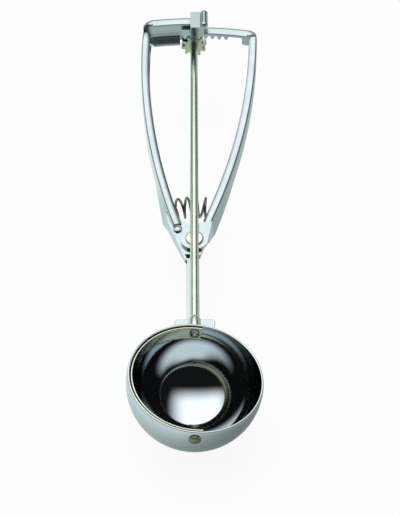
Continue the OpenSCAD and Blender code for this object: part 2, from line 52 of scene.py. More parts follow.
# Sizes repeated from the part's source, in millimetres
BOWL_R, BOWL_WALL, RIM_RISE, BOWL_TURN = 25.0, 0.8, 3.6, 7.0
BOWL_IN = BOWL_R - BOWL_WALL
BLADE_GAP, BLADE_T, BLADE_W, BLADE_PAST = 0.5, 0.6, 6.4, 2.6
BLADE_OUT = BOWL_IN - BLADE_GAP
BLADE_IN = BLADE_OUT - BLADE_T
ROD_R, NECK_R, BUSH_R, WASHER_T, RUN_GAP, PASS_GAP = 1.7, 1.2, 2.35, 0.4, 0.05, 0.35
PIVOT_Y, SHEET, ARM_R, ARM_H, FLANGE = 76.5, 1.2, 290.0, 9.0, 3.7
FIXED_LEAN, LEVER_LEAN, FIXED_PASS, LEVER_PASS = 20.5, 24.5, 5.5, 2.8
EAR_TOP, LEVER_TOP, FOOT_Y, RISE_Y = -4.45, 11.3, 9.5, 110.5
OUTER_BEND, FREE_EDGE, INNER_BEND = 1.15, 0.56, 0.4
RELIEF_Y, FLARE_Y, CORNER_R = 36.0, 35.4, 4.4
FIXED_OUT, LEVER_OUT, FIXED_TOP, FIXED_LOW, CROSS_FLANGE = 123.5, 119.8, 13.9, 0.8, 5.4
SPRING_RING, SPRING_STANDOFF, SPRING_R, WIRE_D, CURLS = 22.5, 2.2, 4.65, 1.1, 5

# Sizes that follow from them
RISE = (LEVER_TOP - EAR_TOP) / (RISE_Y - FOOT_Y)
ROD_IN = BLADE_IN - 0.5
BEARING_IN = PIVOT_Y + FIXED_OUT - SHEET
ROD_OUT = BEARING_IN + SHEET + RUN_GAP + WASHER_T

# Sizes of this script alone: a corner left all but square, the round of the bowl's rim, the depth of the
# strips along the arms' tops, and the distance at which doubled points are joined, in metres
SQUARE, RIM_ROUND, STUB = 0.1, 0.3, 2.3
JOIN = 1e-7
TURN = Matrix.Rotation(math.radians(BOWL_TURN), 4, "Y")


# ---- making finishes ----

class Link:
    """A value in a finish, with the arithmetic that the finishes use."""

    def __init__(self, finish, socket):
        self.finish = finish
        self.socket = socket

    def _sum(self, operation, first, second):
        maths = self.finish.node("ShaderNodeMath", {"operation": operation}, {0: first, 1: second})
        return Link(self.finish, maths.outputs[0])

    def __add__(self, other):
        return self._sum("ADD", self, other)

    __radd__ = __add__

    def __sub__(self, other):
        return self._sum("SUBTRACT", self, other)

    def __rsub__(self, other):
        return self._sum("SUBTRACT", other, self)

    def __mul__(self, other):
        return self._sum("MULTIPLY", self, other)

    __rmul__ = __mul__

    def __truediv__(self, other):
        return self._sum("DIVIDE", self, other)

    def power(self, other):
        return self._sum("POWER", self, other)

    def at_least(self, other):
        return self._sum("MAXIMUM", self, other)

    def step(self, low, high):
        """0 below low, 1 above high and a smooth rise between; low may be above high."""
        ramp = self.finish.node("ShaderNodeMapRange", {"interpolation_type": "SMOOTHSTEP"},
                                {"Value": self, "From Min": low, "From Max": high})
        return Link(self.finish, ramp.outputs[0])


class Finish:
    """Node tree of a material or of the world."""

    def __init__(self, owner):
        owner.use_nodes = True
        self.owner = owner
        self.tree = owner.node_tree

    def node(self, kind, settings=None, inputs=None):
        """Adds a node: its settings are set first, then the values or links of its sockets."""
        made = self.tree.nodes.new(kind)
        for key, value in (settings or {}).items():
            setattr(made, key, value)
        for key, value in (inputs or {}).items():
            if isinstance(value, Link):
                value = value.socket
            if isinstance(value, bpy.types.NodeSocket):
                self.tree.links.new(value, made.inputs[key])
            else:
                made.inputs[key].default_value = value
        return made

    def stretched(self, scale):
        """Place on the object, stretched along its axes."""
        place = self.node("ShaderNodeTexCoord")
        mapped = self.node("ShaderNodeMapping", {}, {"Vector": place.outputs["Object"], "Scale": scale})
        return mapped.outputs[0]

    def noise(self, scale, detail=3.0, spread=(1, 1, 1), roughness=0.5):
        made = self.node("ShaderNodeTexNoise", {}, {
            "Vector": self.stretched(spread), "Scale": scale, "Detail": detail, "Roughness": roughness})
        return Link(self, made.outputs[0])

    def blend(self, factor, first, second):
        made = self.node("ShaderNodeMix", {"data_type": "RGBA"}, {0: factor, 6: first, 7: second})
        return made.outputs[2]


def rgb(red, green, blue):
    return (red, green, blue, 1.0)


def metal(name, light, dark, rough, grain, wave=0.35):
    """Polished metal of two tones; grain stretches its polishing lines, and wave is how much it swells."""
    finish = Finish(bpy.data.materials.new(name))
    shader = finish.tree.nodes["Principled BSDF"]
    patches = finish.noise(scale=90.0, detail=4.0).step(0.35, 0.7)
    lines = finish.noise(scale=1.0, detail=5.0, spread=grain, roughness=0.6)
    specks = finish.noise(scale=1400.0, detail=2.0)
    finish.tree.links.new(finish.blend(patches * 0.6 + lines * 0.4, dark, light), shader.inputs["Base Color"])
    roughness = rough + 0.10 * patches * lines + 0.05 * lines.step(0.55, 0.75)
    finish.tree.links.new(roughness.socket, shader.inputs["Roughness"])
    swell = finish.noise(scale=38.0, detail=1.0)
    height = lines * 0.06 + specks * 0.03 + swell * wave
    bump = finish.node("ShaderNodeBump", {}, {"Height": height, "Strength": 0.25, "Distance": 0.00012})
    finish.tree.links.new(bump.outputs[0], shader.inputs["Normal"])
    shader.inputs["Metallic"].default_value = 1.0
    return finish.owner


def mirror_bowl():
    """Spun stainless steel, polished bright, with faint rings about its axis."""
    finish = Finish(bpy.data.materials.new("bowl_mirror_steel"))
    shader = finish.tree.nodes["Principled BSDF"]
    place = finish.node("ShaderNodeTexCoord")
    turned = finish.node("ShaderNodeMapping", {"vector_type": "POINT"}, {
        "Vector": place.outputs["Object"], "Rotation": (0.0, -math.radians(BOWL_TURN), 0.0)})
    across = finish.node("ShaderNodeSeparateXYZ", {}, {0: turned.outputs[0]})
    x = Link(finish, across.outputs[0])
    y = Link(finish, across.outputs[1])
    z = Link(finish, across.outputs[2])
    ring_place = finish.node("ShaderNodeCombineXYZ", {}, {
        0: (x * x + y * y).power(0.5) * 1500.0, 1: z * 900.0, 2: 0.0})
    rings = Link(finish, finish.node("ShaderNodeTexNoise", {}, {
        "Vector": ring_place.outputs[0], "Scale": 1.0, "Detail": 3.0}).outputs[0])
    wipe = finish.noise(scale=70.0, detail=5.0, roughness=0.6).step(0.5, 0.8)
    finish.tree.links.new(
        finish.blend(rings, rgb(0.44, 0.49, 0.51), rgb(0.52, 0.56, 0.58)), shader.inputs["Base Color"])
    finish.tree.links.new(
        (0.045 + 0.05 * wipe + 0.04 * rings.step(0.55, 0.8)).socket, shader.inputs["Roughness"])
    bump = finish.node("ShaderNodeBump", {}, {
        "Height": rings * 0.05, "Strength": 0.12, "Distance": 0.0001})
    finish.tree.links.new(bump.outputs[0], shader.inputs["Normal"])
    shader.inputs["Metallic"].default_value = 1.0
    return finish.owner


STEEL_ALONG = metal(
    "handle_polished_steel", rgb(0.42, 0.475, 0.485), rgb(0.34, 0.39, 0.395), 0.13, (900, 60, 900))
STEEL_SATIN = metal(
    "cross_arm_satin_steel", rgb(0.43, 0.485, 0.48), rgb(0.35, 0.40, 0.395), 0.26, (60, 900, 900))
BOWL_STEEL = mirror_bowl()
NICKEL = metal(
    "rod_nickel_plate", rgb(0.56, 0.61, 0.52), rgb(0.45, 0.50, 0.41), 0.20, (1100, 50, 1100), wave=0.1)
BLADE_PLATE = metal(
    "blade_nickel_brass", rgb(0.62, 0.63, 0.50), rgb(0.50, 0.52, 0.40), 0.14, (300, 300, 1200), wave=0.2)
GEAR_PLATE = metal(
    "pinion_satin_brass", rgb(0.50, 0.55, 0.40), rgb(0.36, 0.41, 0.28), 0.32, (700, 700, 700), wave=0.1)
RIVET_STEEL = metal(
    "rivet_bright_steel", rgb(0.72, 0.70, 0.63), rgb(0.62, 0.60, 0.53), 0.22, (500, 500, 500), wave=0.1)
WIRE_STEEL = metal(
    "spring_oiled_wire", rgb(0.22, 0.23, 0.17), rgb(0.10, 0.11, 0.08), 0.25, (900, 900, 900), wave=0.1)
PIN_METAL = metal(
    "pin_dark_brass", rgb(0.24, 0.26, 0.16), rgb(0.13, 0.15, 0.09), 0.26, (900, 900, 900), wave=0.1)


# ---- making pieces ----

def stand_for(name, mesh, node, material):
    """Puts a finished mesh in the scene in place of the node, on the node's body."""
    piece = bpy.data.objects.new(name, mesh)
    bpy.context.scene.collection.objects.link(piece)
    mesh.materials.clear()
    mesh.materials.append(material)
    bodies = frame["record"]["behaviour"]["bodies"]
    body = next(body for body, members in bodies.items() if node in members)
    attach(piece, body)
    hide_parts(node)
    return piece


def mesh_of(bm, name, sharp=40):
    """Ends a bmesh as a smooth mesh, whose edges over so many degrees stay sharp."""
    bmesh.ops.recalc_face_normals(bm, faces=bm.faces)
    for face in bm.faces:
        face.smooth = True
    for edge in bm.edges:
        if len(edge.link_faces) == 2 and edge.calc_face_angle() > math.radians(sharp):
            edge.smooth = False
    mesh = bpy.data.meshes.new(name)
    bm.to_mesh(mesh)
    bm.free()
    return mesh


def roll_edges(piece, radius, segments=3, angle=35):
    """Rolls a piece's sharp edges over, as on formed and tumbled sheet."""
    rolled = piece.modifiers.new("rolled edges", "BEVEL")
    rolled.limit_method = "ANGLE"
    rolled.angle_limit = math.radians(angle)
    rolled.width = radius * MM
    rolled.segments = segments
    rolled.profile = 0.5
    rolled.use_clamp_overlap = True
    rolled.harden_normals = False
    rolled.miter_outer = "MITER_ARC"


def even_shading(piece, keep_sharp=False):
    """Shades a piece's flats evenly up to its rolled edges."""
    flat = piece.modifiers.new("even shading", "WEIGHTED_NORMAL")
    flat.keep_sharp = keep_sharp
    flat.weight = 80


def sheet_copy(name, node, material, radius, segments=3, angle=35, low=None, high=None, under=None):
    """The node's own shape with rolled edges, cut between two heights over the pivot and under a level."""
    merge, flat = 2e-6, math.radians(0.4)
    bm = bmesh.new()
    bm.from_mesh(frame["nodes"][node].data)
    bmesh.ops.remove_doubles(bm, verts=bm.verts, dist=merge)
    bmesh.ops.dissolve_degenerate(bm, edges=bm.edges, dist=merge)
    bmesh.ops.dissolve_limit(bm, angle_limit=flat, verts=bm.verts, edges=bm.edges, delimit={"NORMAL"})
    cuts = []
    if low is not None:
        cuts.append(((0, PIVOT_Y + low, 0), (0, -1, 0)))
    if high is not None:
        cuts.append(((0, PIVOT_Y + high, 0), (0, 1, 0)))
    if under is not None:
        cuts.append(((0, 0, under), (0, 0, 1)))
    for place, outward in cuts:
        bmesh.ops.bisect_plane(
            bm, geom=bm.verts[:] + bm.edges[:] + bm.faces[:], dist=JOIN,
            plane_co=Vector(place) * MM, plane_no=outward, clear_outer=True)
        bmesh.ops.triangle_fill(bm, use_beauty=True, use_dissolve=False, normal=outward,
                                edges=[edge for edge in bm.edges if edge.is_boundary])
    piece = stand_for(name, mesh_of(bm, name), node, material)
    roll_edges(piece, radius, segments, angle)
    even_shading(piece)


# ---- the arms' formed channels ----

def arm_middle(lean, passing, side):
    """Centre of an arm's curve, from the lean of its foot and how far it passes beside the pivot."""
    lean = math.radians(lean)
    return Vector((-side * math.cos(lean), math.sin(lean))) * (ARM_R - passing)


FIXED_MIDDLE = arm_middle(FIXED_LEAN, FIXED_PASS, -1)
LEVER_MIDDLE = arm_middle(LEVER_LEAN, LEVER_PASS, 1)


def edge_z(y):
    """Height of the arms' top edge, y over the pivot: level at the foot, then rising."""
    return EAR_TOP + RISE * (min(y, RISE_Y) - FOOT_Y if y > FOOT_Y else 0.0)


def rounded(corners, steps=4):
    """Points round a section whose corners are (inwards, z, radius)."""
    points = []
    for i, (across, z, bend) in enumerate(corners):
        here = Vector((across, z))
        before = (Vector(corners[i - 1][:2]) - here).normalized()
        after = (Vector(corners[(i + 1) % len(corners)][:2]) - here).normalized()
        half = before.angle(after) / 2
        middle = here + (before + after).normalized() * bend / math.sin(half)
        start = here + before * bend / math.tan(half) - middle
        stop = here + after * bend / math.tan(half) - middle
        turn = start.angle_signed(stop)
        for j in range(steps + 1):
            points.append(middle + Matrix.Rotation(-turn * j / steps, 2) @ start)
    return points


def meet(centre, radius, ring, side):
    """Where a circle about centre meets one about the pivot."""
    away = centre.length
    along = (away * away + ring * ring - radius * radius) / (2 * away)
    up = math.sqrt(ring * ring - along * along)
    unit = centre / away
    return along * unit + side * up * Vector((-unit.y, unit.x))


def heading(point):
    """Direction of a point from the origin, in radians."""
    return math.atan2(point.y, point.x)


def carry(bm, corners, middle, radius, start, stop, steps):
    """Carries a section round middle between two headings, and returns its points."""
    place = Matrix.Translation((middle.x, middle.y, 0)) @ Matrix.Rotation(start, 4, "Z")
    known = set(bm.verts)
    ring = [bm.verts.new(place @ Vector((radius - inwards, 0, z))) for inwards, z in rounded(corners)]
    edges = [bm.edges.new(pair) for pair in zip(ring, ring[1:] + ring[:1])]
    bmesh.ops.spin(bm, geom=ring + edges, cent=(middle.x, middle.y, 0), axis=(0, 0, 1),
                   angle=stop - start, steps=steps, use_merge=False)
    bmesh.ops.holes_fill(bm, edges=[edge for edge in bm.edges if edge.is_boundary], sides=0)
    return [vert for vert in bm.verts if vert not in known]


def round_ends(bm, verts):
    """Draws a carried section's flat ends out in two short, smaller steps, and returns the new points."""
    inside = set(verts)
    made = []
    for face in [face for face in bm.faces if len(face.verts) > 4 and inside.issuperset(face.verts)]:
        face.normal_update()
        outward = Vector((face.normal.x, face.normal.y, 0.0))
        # The rest of the piece lies behind its end, so a point well ahead means that outward is turned round
        if any((vert.co - face.calc_center_median()).dot(outward) > 0.5 for vert in verts):
            outward = -outward
        for size, step in ((0.86, 0.28), (0.62, 0.2)):
            face = bmesh.ops.extrude_discrete_faces(bm, faces=[face])["faces"][0]
            middle = face.calc_center_median()
            for vert in face.verts:
                vert.co = middle + (vert.co - middle) * size + outward * step
            made += list(face.verts)
    return made


def make_web_toe():
    """The lever's leaning web beside its ear, which narrows towards the bowl."""
    back, front = 10.2, -0.5
    back_wall = [(7.2, back, -4.9), (6.2, back, -4.9), (8.25, back, -13.2), (7.2, back, -13.2)]
    front_wall = [(5.7, front, -5.0), (5.0, front, -5.0), (5.8, front, -6.9), (5.1, front, -6.9)]
    bm = bmesh.new()
    for point in back_wall + front_wall:
        bm.verts.new(Vector(point) * MM + Vector((0, PIVOT_Y * MM, 0)))
    bmesh.ops.convex_hull(bm, input=bm.verts)
    piece = stand_for("lever_web_toe", mesh_of(bm, "lever_web_toe"), "lever", STEEL_ALONG)
    roll_edges(piece, 0.3, 3, 30)
    even_shading(piece)


def formed_piece(bm, name, node, material):
    """A piece from sections carried about the pivot, in millimetres."""
    bmesh.ops.translate(bm, vec=(0, PIVOT_Y, 0), verts=bm.verts)
    bmesh.ops.scale(bm, vec=(MM, MM, MM), verts=bm.verts)
    piece = stand_for(name, mesh_of(bm, name, 50), node, material)
    even_shading(piece, keep_sharp=True)


def arm_piece(name, node, middle, side, foot, web_foot, notch, web_end, flare):
    """An arm: its crowned strip, the web below it that leans out towards the pivot, and its lower flange.

    foot, web_foot, notch and web_end are y over the pivot, and flare is how far the web's foot leans out.
    """
    under, web_in, web_low, flange_high, overlap, stride = -SHEET - 0.2, 0.03, 1.5, 2.5, 0.1, 2.0
    strip = [(0, 0, 1.0), (2.2, 0, 4.0), (FLANGE, -0.7, 0.3), (FLANGE - 0.1, under, 0.3),
             (SHEET, under, INNER_BEND), (SHEET, -STUB, SQUARE), (0, -STUB, SQUARE)]
    web = [(web_in, under, SQUARE), (SHEET, under, SQUARE),
           (SHEET, -ARM_H, FREE_EDGE), (web_in, -ARM_H, FREE_EDGE)]
    high_web = [(web_in, under, SQUARE), (SHEET, under, SQUARE),
                (SHEET, web_low - ARM_H, SQUARE), (web_in, web_low - ARM_H, SQUARE)]
    low = [(0, flange_high - ARM_H, SQUARE), (SHEET, flange_high - ARM_H, SQUARE),
           (SHEET, SHEET - ARM_H, INNER_BEND), (FLANGE, SHEET - ARM_H, FREE_EDGE),
           (FLANGE, -ARM_H, FREE_EDGE), (0, -ARM_H, OUTER_BEND)]

    def turn(y):
        rise = math.asin((y - middle.y) / ARM_R)
        return rise if side > 0 else math.pi - rise

    bm = bmesh.new()
    for section, start, stop in ((strip, foot, notch), (web, web_foot, RELIEF_Y + overlap),
                                 (high_web, RELIEF_Y, notch + overlap), (low, RELIEF_Y, notch),
                                 (web, notch, web_end)):
        steps = max(4, int((stop - start) / stride))
        made = carry(bm, section, middle, ARM_R, turn(start), turn(stop), steps)
        if section is strip:
            made += round_ends(bm, made)
        for vert in made:
            if section is web:
                lean = flare * max(0.0, FLARE_Y - vert.co.y) / (FLARE_Y - web_foot)
                vert.co.x += side * lean * max(0.0, -STUB - vert.co.z) / (ARM_H - STUB)
            vert.co.z += edge_z(vert.co.y)
    formed_piece(bm, name, node, STEEL_ALONG)


def cross_arm(name, node, corner, ring, arm_end, inner_end, sections, corner_section):
    """A cross-arm: its sections, each up to its own heading, and the round corner that joins its arm."""
    bm = bmesh.new()
    start = inner_end
    for section, stop in sections:
        carry(bm, section, Vector((0, 0)), ring, start, stop, 12)
        start = stop
    carry(bm, corner_section, corner, CORNER_R, start, arm_end, 10)
    formed_piece(bm, name, node, STEEL_SATIN)


# ---- turned and spun pieces ----

def lathe(name, points, centre, axis, steps, sharp=40, tilt=False):
    """The mesh of a line of points turned right round an axis, and then with the bowl if it is tilted."""
    bm = bmesh.new()
    verts = [bm.verts.new(point) for point in points]
    edges = [bm.edges.new(pair) for pair in zip(verts, verts[1:])]
    bmesh.ops.spin(
        bm, geom=verts + edges, cent=centre, axis=axis, angle=math.tau, steps=steps, use_merge=True)
    bmesh.ops.remove_doubles(bm, verts=bm.verts, dist=JOIN)
    if tilt:
        bmesh.ops.transform(bm, matrix=TURN, verts=bm.verts)
    return mesh_of(bm, name, sharp)


def turned_piece(name, node, material, profile, tilt=False):
    """A piece turned about the rod's axis; profile is (radius, y) pairs."""
    points = [(radius * MM, y * MM, 0.0) for radius, y in profile]
    stand_for(name, lathe(name, points, (0, 0, 0), (0, 1, 0), 64, 50, tilt), node, material)


def upright_piece(name, node, material, x, y, profile, steps):
    """A piece turned about an upright axis at x and at y over the pivot; profile is (radius, z) pairs."""
    centre = (x * MM, (PIVOT_Y + y) * MM, 0)
    points = [((x + radius) * MM, centre[1], z * MM) for radius, z in profile]
    stand_for(name, lathe(name, points, centre, (0, 0, 1), steps), node, material)


def arc(radius, start, stop, count):
    """(x, z) points of an arc about the bowl's centre; angles rise from the horizontal, in degrees."""
    return [(radius * math.cos(math.radians(start + (stop - start) * i / count)),
             radius * math.sin(math.radians(start + (stop - start) * i / count)))
            for i in range(count + 1)]


def angle_at(height, radius):
    """Angle over the horizontal, in degrees, of a point of an arc at a height."""
    return math.degrees(math.asin(height / radius))


def rounded_rim(count=5):
    """(x, z) points over the bowl's rim, from the outer wall to the inner one."""
    x_out = math.sqrt(BOWL_R ** 2 - RIM_RISE ** 2)
    x_in = math.sqrt(BOWL_IN ** 2 - RIM_RISE ** 2)
    middle = (x_out + x_in) / 2
    half = (x_out - x_in) / 2
    foot = RIM_RISE - RIM_ROUND
    turns = [math.pi * i / count for i in range(count + 1)]
    return [(middle + half * math.cos(turn), foot + RIM_ROUND * math.sin(turn)) for turn in turns]


def make_bowl():
    low, foot = -90, RIM_RISE - RIM_ROUND
    outside = arc(BOWL_R, low, angle_at(foot, BOWL_R), 48)[1:-1]
    inside = arc(BOWL_IN, angle_at(foot, BOWL_IN), low, 48)[1:-1]
    profile = [(0.0, -BOWL_R)] + outside + rounded_rim() + inside + [(0.0, -BOWL_IN)]
    points = [(x * MM, 0.0, z * MM) for x, z in profile]
    mesh = lathe("bowl_spun_shell", points, (0, 0, 0), (0, 0, 1), 144, 50, tilt=True)
    stand_for("bowl_spun_shell", mesh, "bowl", BOWL_STEEL)


def make_blade():
    """The scraper's band: its section spun half way round the bowl's axis, with a tongue past each pivot."""
    half, edge = BLADE_W / 2, 0.2
    at_out = angle_at(half - edge, BLADE_OUT)
    at_in = angle_at(half - edge, BLADE_IN)
    x_out = math.sqrt(BLADE_OUT ** 2 - half ** 2)
    x_in = math.sqrt(BLADE_IN ** 2 - half ** 2)
    over_edge = [(x_out - edge * 0.35, half - edge * 0.3), (x_out - edge, half),
                 (x_in + edge, half), (x_in + edge * 0.35, half - edge * 0.3)]
    under_edge = [(x, -z) for x, z in reversed(over_edge)]
    section = arc(BLADE_OUT, -at_out, at_out, 6) + over_edge + arc(BLADE_IN, at_in, -at_in, 6) + under_edge
    past = angle_at(BLADE_PAST, BLADE_OUT)
    bm = bmesh.new()
    points = [bm.verts.new((x * MM, 0.0, z * MM)) for x, z in section]
    face = bm.faces.new(points)
    start = Matrix.Rotation(math.radians(90 - past), 3, "Z")
    bmesh.ops.rotate(bm, verts=points, cent=(0, 0, 0), matrix=start)
    bmesh.ops.spin(bm, geom=[face], axis=(0, 0, 1), cent=(0, 0, 0), angle=math.radians(180 + 2 * past),
                   steps=96, use_merge=False)
    bmesh.ops.remove_doubles(bm, verts=bm.verts, dist=JOIN)
    bmesh.ops.transform(bm, matrix=TURN, verts=bm.verts)
    stand_for("blade_band", mesh_of(bm, "blade_band", 50), "blade", BLADE_PLATE)


# ---- the wound spring ----

def spring_route():
    """Points of the wire's middle: a foot on the fixed arm, its curls, and an end just off the lever."""
    foot_gap, end_gap, lead, per_curl, skipped = 0.02, 0.24, 0.1, 24, 3
    coil_r = SPRING_R - WIRE_D / 2
    middle = edge_z(0.9 * SPRING_RING) - SHEET - PASS_GAP - SPRING_R
    start = meet(FIXED_MIDDLE, ARM_R - SHEET - SPRING_STANDOFF, SPRING_RING, 1)
    stop = meet(LEVER_MIDDLE, ARM_R - SHEET - SPRING_STANDOFF, SPRING_RING, -1)

    def off_web(centre, point, gap):
        spot = centre + (point - centre).normalized() * (ARM_R - SHEET - gap)
        return Vector((spot.x, spot.y, middle + coil_r))

    count = CURLS * per_curl
    coil = []
    for i in range(count + 1):
        along = heading(start) + (heading(stop) - heading(start)) * i / count
        turn = math.radians(90 + 360 * i / per_curl)
        away = SPRING_RING + coil_r * math.cos(turn)
        place = Vector((away * math.cos(along), away * math.sin(along), middle + coil_r * math.sin(turn)))
        coil.append(place)
    feet = [off_web(FIXED_MIDDLE, start, foot_gap), off_web(FIXED_MIDDLE, start, WIRE_D + lead)]
    ends = [off_web(LEVER_MIDDLE, stop, WIRE_D + lead), off_web(LEVER_MIDDLE, stop, end_gap)]
    lead_in = (feet[1] + 2 * coil[0] + coil[skipped]) / 4
    lead_out = (ends[0] + 2 * coil[count] + coil[count - skipped]) / 4
    return feet + [lead_in] + coil[skipped:-skipped] + [lead_out] + ends


def make_spring():
    """The spring, which narrows sideways towards its fixed foot when the lever is squeezed."""
    route = spring_route()
    line = bpy.data.curves.new("spring_route", "CURVE")
    line.dimensions = "3D"
    line.bevel_depth = WIRE_D / 2 * MM
    line.bevel_resolution = 3
    line.use_fill_caps = True
    spline = line.splines.new("POLY")
    spline.points.add(len(route) - 1)
    for point, place in zip(spline.points, route):
        point.co = (place.x * MM, (place.y + PIVOT_Y) * MM, place.z * MM, 1.0)
    holder = bpy.data.objects.new("spring_route", line)
    bpy.context.scene.collection.objects.link(holder)
    wire = bpy.data.meshes.new_from_object(holder)
    bpy.data.objects.remove(holder)
    bm = bmesh.new()
    bm.from_mesh(wire)
    piece = stand_for("spring_wound_wire", mesh_of(bm, "spring_wound_wire", 60), "spring", WIRE_STEEL)
    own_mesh(piece)


# ---- the scoop ----

FIXED_CORNER = meet(FIXED_MIDDLE, ARM_R - CORNER_R, FIXED_OUT - CORNER_R, 1)
LEVER_CORNER = meet(LEVER_MIDDLE, ARM_R - CORNER_R, LEVER_OUT - CORNER_R, -1)
FIXED_NOTCH, LEVER_NOTCH = FIXED_CORNER.y - 3, LEVER_CORNER.y - 2


def make_arms():
    """Both arms, and round them what of the solids stays: the pivot housing, the ear and the rack."""
    corner_y = FIXED_MIDDLE.y + ARM_R * math.sin(heading(FIXED_CORNER - FIXED_MIDDLE))
    sheet_copy("fixed_handle_housing", "fixed_handle", STEEL_ALONG, 0.4, high=17, under=-5.72)
    arm_piece("fixed_handle_arm", "fixed_handle", FIXED_MIDDLE, side=-1, foot=8.3, web_foot=16,
              notch=FIXED_NOTCH, web_end=corner_y + 0.2, flare=2.1)
    sheet_copy("lever_ear", "lever", STEEL_ALONG, 0.4, high=9.6)
    sheet_copy("lever_rack", "lever", STEEL_ALONG, 0.3, low=LEVER_NOTCH - 0.1, under=9.9)
    arm_piece("lever_arm", "lever", LEVER_MIDDLE, side=1, foot=9.0, web_foot=9.5,
              notch=LEVER_NOTCH, web_end=LEVER_NOTCH + 0.6, flare=1.15)


def narrowed(section):
    """The section with its flanges cut back, so that it turns inside a cross-arm's corner."""
    return [(min(across, CORNER_R - 0.3), z, bend) for across, z, bend in section]


def make_fixed_cross_arm():
    """Its top flange droops at its front edge, and its lower flange ends before the spindle's bearing."""
    bearing_x, low_flange_x, tuck = 2.4, -6.5, math.radians(2)
    top = [(0, FIXED_TOP, 2.2), (CROSS_FLANGE, FIXED_TOP - 0.9, 0.5),
           (CROSS_FLANGE - 0.1, FIXED_TOP - 2.0, 0.5), (SHEET, FIXED_TOP - 1.4, 0.5)]
    angle = top + [(SHEET, FIXED_LOW, 0.4), (0, FIXED_LOW, 0.4)]
    full = top + [(SHEET, FIXED_LOW + 2.4, 2.0), (CROSS_FLANGE, FIXED_LOW + SHEET, 0.5),
                  (CROSS_FLANGE, FIXED_LOW, 0.5), (0, FIXED_LOW, 1.0)]
    cross_arm("fixed_handle_cross_arm", "fixed_handle", FIXED_CORNER, FIXED_OUT,
              heading(FIXED_CORNER - FIXED_MIDDLE) + tuck, math.acos(bearing_x / FIXED_OUT),
              [(angle, math.acos(low_flange_x / FIXED_OUT)), (full, heading(FIXED_CORNER))], narrowed(full))


def make_lever_cross_arm():
    """Its top flange, which droops at its front edge over the rack."""
    end_x, wall_low, tuck = 4.9, 8.6, math.radians(2)
    top = [(0, LEVER_TOP, 2.0), (CROSS_FLANGE, LEVER_TOP - 0.8, 0.5),
           (CROSS_FLANGE - 0.1, LEVER_TOP - 1.9, 0.5), (SHEET, LEVER_TOP - 1.3, 0.4),
           (SHEET, wall_low, SQUARE), (0, wall_low, SQUARE)]
    cross_arm("lever_cross_flange", "lever", LEVER_CORNER, LEVER_OUT,
              heading(LEVER_CORNER - LEVER_MIDDLE) - tuck, math.acos(end_x / LEVER_OUT),
              [(top, heading(LEVER_CORNER))], narrowed(top))


def make_lip():
    """The small round lip that stands up from the plate of the pivot housing, dished on top."""
    radius, low, top = 1.8, -6.85, -4.8
    upright_piece("fixed_handle_lip", "fixed_handle", STEEL_ALONG, -6.9, 6.6, [
        (0, low), (radius - 0.05, low), (radius, low + 0.25), (radius, top - 0.4),
        (radius - 0.1, top - 0.1), (radius - 0.35, top), (radius - 0.6, top - 0.15),
        (radius - 0.7, top - 0.5), (0, top - 0.55)], 40)


def make_lug():
    """The round end of the fixed cross-arm, in which the rod turns."""
    radius, bore, round_off = 4.2, NECK_R + 0.05, 0.2
    near, far = BEARING_IN, BEARING_IN + SHEET
    turned_piece("fixed_handle_lug", "fixed_handle", STEEL_ALONG, [
        (bore, near), (radius - round_off, near), (radius, near + round_off),
        (radius, far - round_off), (radius - round_off, far), (bore, far), (bore, near)])


def make_rod():
    """The rod: riveted over inside the bowl and behind the bearing, with a shouldered neck at each end."""
    turned_piece("rod_turned", "spindle_rod", NICKEL, [
        (0, ROD_IN - 0.68), (0.75, ROD_IN - 0.55), (1.3, ROD_IN - 0.25), (1.55, ROD_IN), (NECK_R, ROD_IN),
        (NECK_R, BLADE_OUT - 0.2), (ROD_R - 0.1, BLADE_OUT - 0.05), (ROD_R, BLADE_OUT + 0.05),
        (ROD_R, BLADE_OUT + 0.3), (ROD_R, BEARING_IN - 0.5), (ROD_R, BEARING_IN - 0.15),
        (ROD_R - 0.1, BEARING_IN - RUN_GAP), (NECK_R, BEARING_IN - RUN_GAP), (NECK_R, ROD_OUT),
        (1.5, ROD_OUT), (1.3, ROD_OUT + 0.3), (0.75, ROD_OUT + 0.58), (0, ROD_OUT + 0.68)])


def make_ferrule():
    """The rod's ferrule: a short sleeve in the bowl's wall, and a collar outside whose end narrows."""
    bore, sleeve = ROD_R + RUN_GAP, ROD_R + 0.5
    inside, shoulder, outside = 24.2, 24.8, 30.8
    turned_piece("ferrule_turned", "bowl_bush", NICKEL, [
        (bore, inside), (sleeve, inside), (sleeve, shoulder), (BUSH_R, shoulder + 0.05),
        (BUSH_R, outside - 1.2), (BUSH_R - 0.1, outside - 0.85), (BUSH_R - 0.3, outside - 0.6),
        (BUSH_R - 0.4, outside - 0.25), (ROD_R + 0.15, outside), (bore, outside), (bore, inside)])


def make_washers():
    """The rod's washers: under its riveted end in the bowl, before the bearing and under its far end."""
    pinion_far = BEARING_IN - RUN_GAP
    pinion_near = pinion_far - WASHER_T
    end_near = ROD_OUT - WASHER_T
    turned_piece("blade_washer_turned", "blade_washer", NICKEL, [
        (NECK_R, ROD_IN), (1.8, ROD_IN), (1.9, ROD_IN + 0.07), (1.9, ROD_IN + WASHER_T - 0.05),
        (1.85, ROD_IN + WASHER_T), (NECK_R, ROD_IN + WASHER_T), (NECK_R, ROD_IN)])
    turned_piece("pinion_washer_turned", "pinion_washer", NICKEL, [
        (ROD_R, pinion_near), (3.6, pinion_near), (3.7, pinion_near + 0.07), (3.7, pinion_far - 0.05),
        (3.65, pinion_far), (ROD_R, pinion_far), (ROD_R, pinion_near)])
    turned_piece("rod_washer_turned", "rod_washer", NICKEL, [
        (NECK_R, end_near), (2.65, end_near), (2.7, end_near + 0.07), (2.7, ROD_OUT - 0.1),
        (2.6, ROD_OUT), (NECK_R, ROD_OUT), (NECK_R, end_near)])


